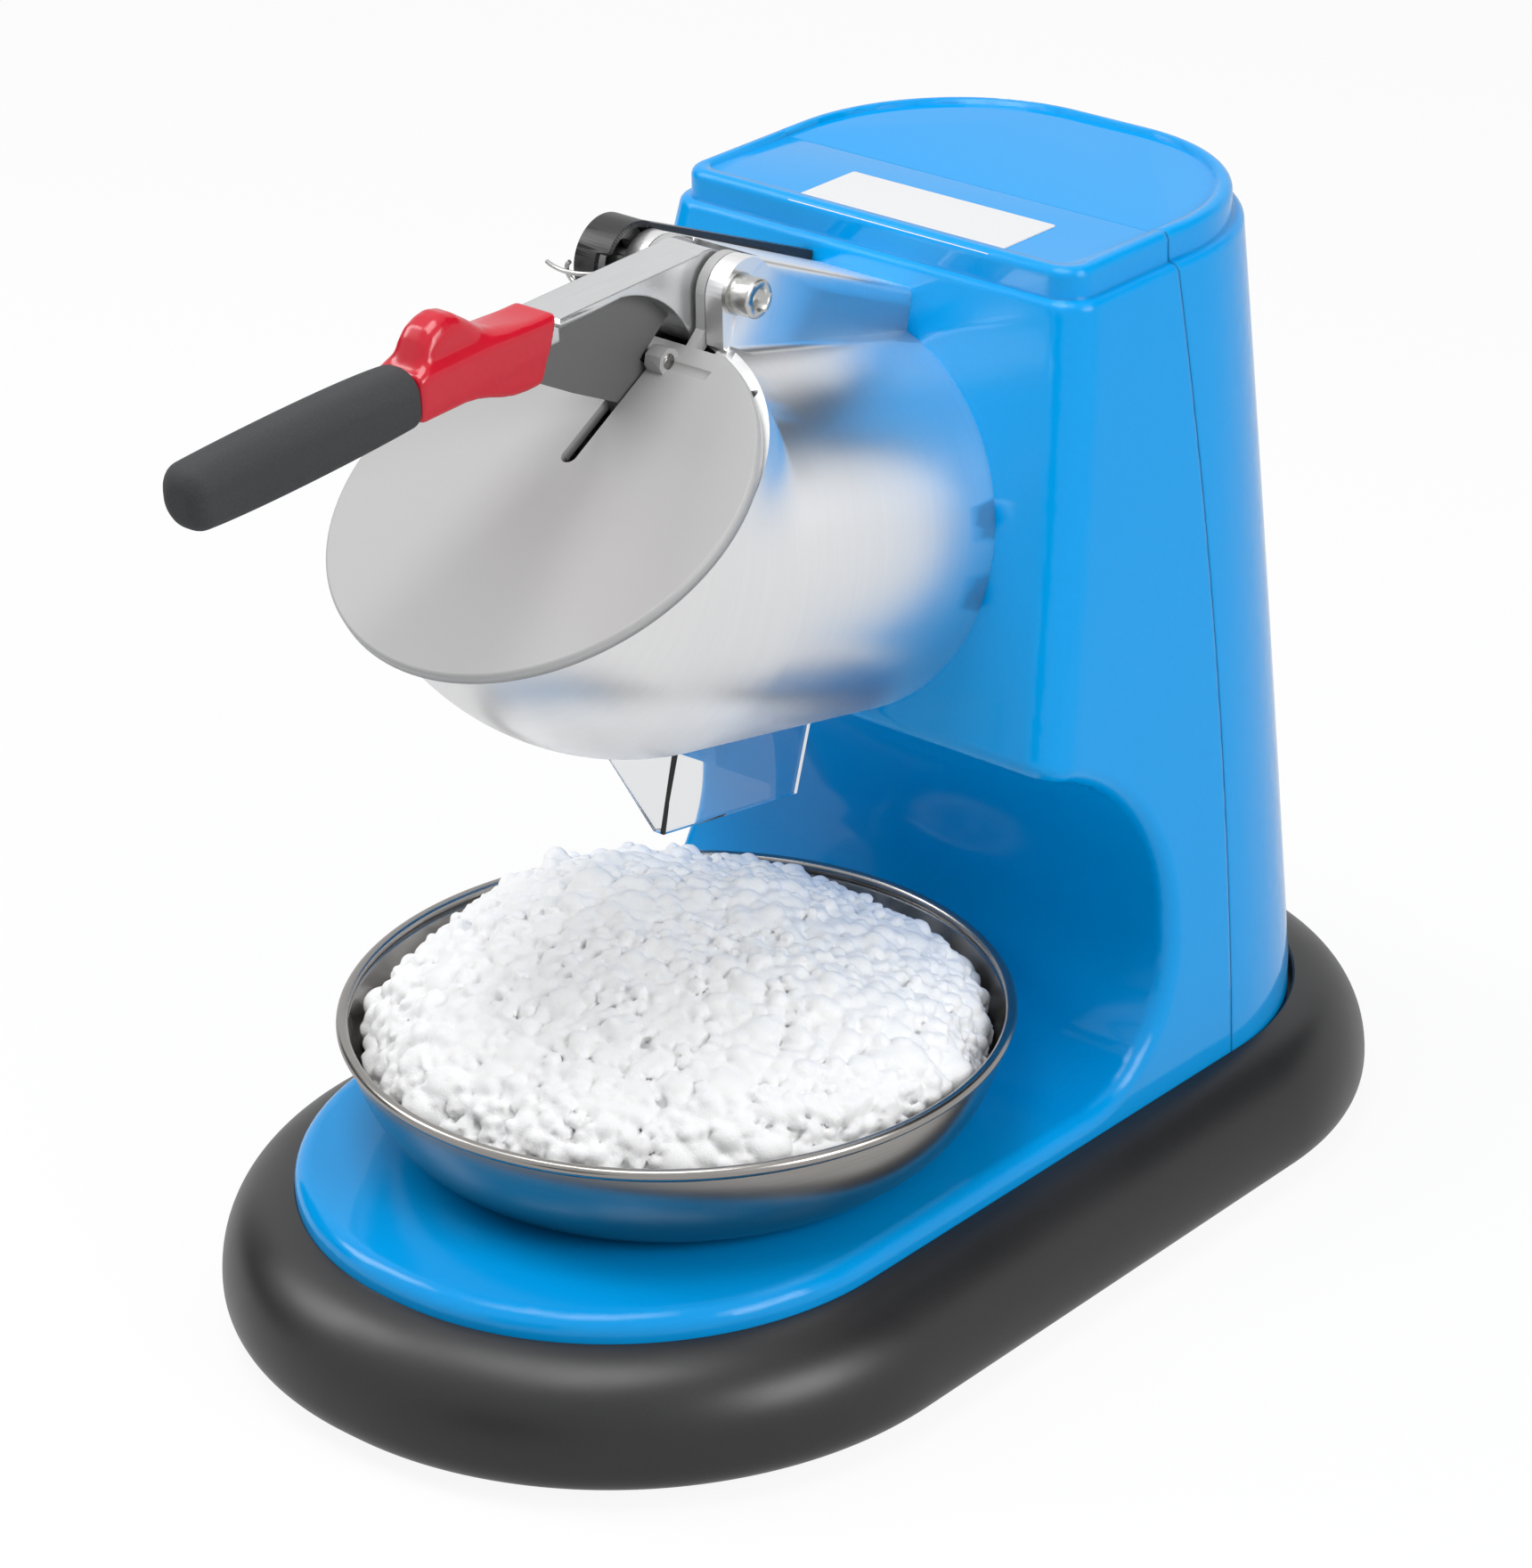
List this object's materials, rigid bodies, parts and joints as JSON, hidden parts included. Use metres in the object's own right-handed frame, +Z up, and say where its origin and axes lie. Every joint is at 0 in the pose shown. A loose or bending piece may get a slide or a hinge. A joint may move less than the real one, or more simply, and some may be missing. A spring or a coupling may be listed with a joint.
{
  "type": "shaved ice machine",
  "caption": "Countertop electric shaved ice machine: round base with a bowl, leaning column, steel ice drum, hinged lid and press lever.",
  "frame": {"origin": "on the table under the middle of the overall length and width", "axes": "+Z up, +Y towards the back of the machine, +X to the right as seen from the front"},
  "size_m": [0.21, 0.386, 0.2893],
  "materials": {
    "blue_plastic": "gloss",
    "black_plastic": "satin",
    "grey_plastic": "satin",
    "brushed_steel": "brushed",
    "polished_steel": "polished",
    "zinc_steel": "satin",
    "cast_aluminium": "satin",
    "red_dip": "gloss",
    "grip_rubber": "matte",
    "black_rubber": "matte",
    "clear_plastic": "gloss",
    "shaved_ice": "matte",
    "motor_paint": "satin",
    "galvanised": "satin"
  },
  "bodies": {
    "housing": {"base_skirt": "black_plastic", "base_plate": "black_plastic", "rubber_feet": "black_rubber", "base_screws": "zinc_steel", "front_shell": "blue_plastic", "rear_cover": "blue_plastic", "cover_screws": "zinc_steel", "cord_gland": "black_rubber", "hopper_drum": "brushed_steel", "drum_screws": "zinc_steel", "discharge_chute": "clear_plastic", "pivot_bolt": "zinc_steel", "pivot_washers": "zinc_steel", "hitch_pin": "zinc_steel", "switch_housing": "black_plastic", "interlock_switch": "grey_plastic", "front_bearing": "polished_steel", "shaft_seal": "black_rubber", "bearing_housing": "cast_aluminium", "motor_bracket": "galvanised", "bracket_screws": "zinc_steel", "motor": "motor_paint", "motor_screws": "zinc_steel", "terminal_block": "grey_plastic", "power_switch_body": "black_plastic"},
    "lid": {"lid": "grey_plastic", "lift_pin": "polished_steel"},
    "lever": {"lever_arm": "cast_aluminium", "lever_web": "brushed_steel", "thumb_sleeve": "red_dip", "grip": "grip_rubber", "press_plate": "cast_aluminium", "web_rivets": "zinc_steel"},
    "blades": {"blade_disc": "brushed_steel", "blades": "polished_steel", "blade_screws": "zinc_steel", "disc_nut": "polished_steel", "motor_shaft": "polished_steel", "cooling_fan": "black_plastic"},
    "rocker": {"power_rocker": "black_plastic"},
    "bowl": {"bowl": "polished_steel", "shaved_ice": "shaved_ice"}
  },
  "joints": [
    {"name": "lid_pivot", "type": "hinge", "parent": "housing", "child": "lid", "pos_m": [0, -0.0227, 0.2722], "axis": [-1, 0, 0], "range_deg": [0, 58]},
    {"name": "lever_press", "type": "hinge", "parent": "lid", "child": "lever", "pos_m": [0, -0.0227, 0.2722], "axis": [-1, 0, 0], "range_deg": [0, 34]},
    {"name": "blade_spin", "type": "hinge", "parent": "housing", "child": "blades", "pos_m": [0, 0.0312, 0.1937], "axis": [0, -0.9769, 0.2139], "continuous": true},
    {"name": "power_rocker", "type": "hinge", "parent": "housing", "child": "rocker", "pos_m": [-0.07579, 0.062, 0.20506], "axis": [0, -1, 0], "range_deg": [0, 16]},
    {"name": "bowl_slide", "type": "slide", "parent": "housing", "child": "bowl", "axis": [0, -1, 0], "range_m": [0, 0.2]}
  ]
}
